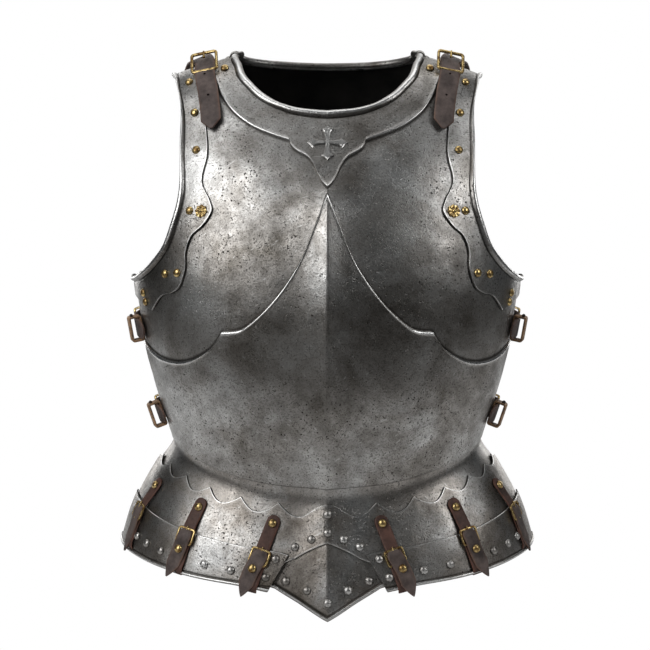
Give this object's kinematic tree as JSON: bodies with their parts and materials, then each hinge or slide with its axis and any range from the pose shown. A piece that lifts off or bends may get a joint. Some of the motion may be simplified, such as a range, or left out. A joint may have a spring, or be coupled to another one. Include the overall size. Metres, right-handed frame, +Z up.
{
  "type": "steel breastplate with back plate and fauld",
  "caption": "Steel cuirass with a pointed plackart, a cross at the neck, cusped arm bands, a skirt of overlapping lames, leather straps and brass buckles.",
  "frame": {"origin": "middle of the bounding box, at its bottom, which is the surface that the cuirass stands on", "axes": "+Z is up, -Y is the front of the wearer, +X is to the right in a view of the front"},
  "size_m": [0.4168, 0.2744, 0.5408],
  "materials": {
    "steel": "aged, pitted and hand polished",
    "leather": "worn dark brown",
    "brass": "antique"
  },
  "bodies": {
    "root": {"breastplate": "steel", "back_plate": "steel", "arm_band_right": "steel", "arm_band_left": "steel", "waist_lame": "steel", "scalloped_lame": "steel", "lower_lame_right": "steel", "lower_lame_left": "steel", "centre_plate": "steel", "culet_upper": "steel", "culet_lower": "steel", "shoulder_strap_right": "leather", "shoulder_strap_left": "leather", "side_strap_upper_right": "leather", "side_strap_upper_left": "leather", "side_strap_lower_right": "leather", "side_strap_lower_left": "leather", "fauld_strap_inner_right": "leather", "fauld_strap_inner_left": "leather", "fauld_strap_middle_right": "leather", "fauld_strap_middle_left": "leather", "fauld_strap_outer_right": "leather", "fauld_strap_outer_left": "leather", "shoulder_buckle_right": "brass", "shoulder_buckle_left": "brass", "side_buckle_upper_right": "brass", "side_buckle_upper_left": "brass", "side_buckle_lower_right": "brass", "side_buckle_lower_left": "brass", "fauld_buckle_inner_right": "brass", "fauld_buckle_inner_left": "brass", "fauld_buckle_middle_right": "brass", "fauld_buckle_middle_left": "brass", "fauld_buckle_outer_right": "brass", "fauld_buckle_outer_left": "brass", "side_keeper_upper_right": "leather", "side_keeper_upper_left": "leather", "side_keeper_lower_right": "leather", "side_keeper_lower_left": "leather", "rivet_shoulder_right": "brass", "rivet_shoulder_left": "brass", "rivet_neck_right": "brass", "rivet_neck_left": "brass", "rivet_upper_right": "brass", "rivet_upper_left": "brass", "rivet_middle_right": "brass", "rivet_middle_left": "brass", "rivet_beside_rosette_right": "brass", "rivet_beside_rosette_left": "brass", "rivet_underarm_outer_right": "brass", "rivet_underarm_outer_left": "brass", "rivet_underarm_inner_right": "brass", "rivet_underarm_inner_left": "brass", "rivet_side_upper_right": "brass", "rivet_side_upper_left": "brass", "rivet_side_lower_right": "brass", "rivet_side_lower_left": "brass", "rosette_right": "brass", "rosette_left": "brass"}
  },
  "joints": []
}
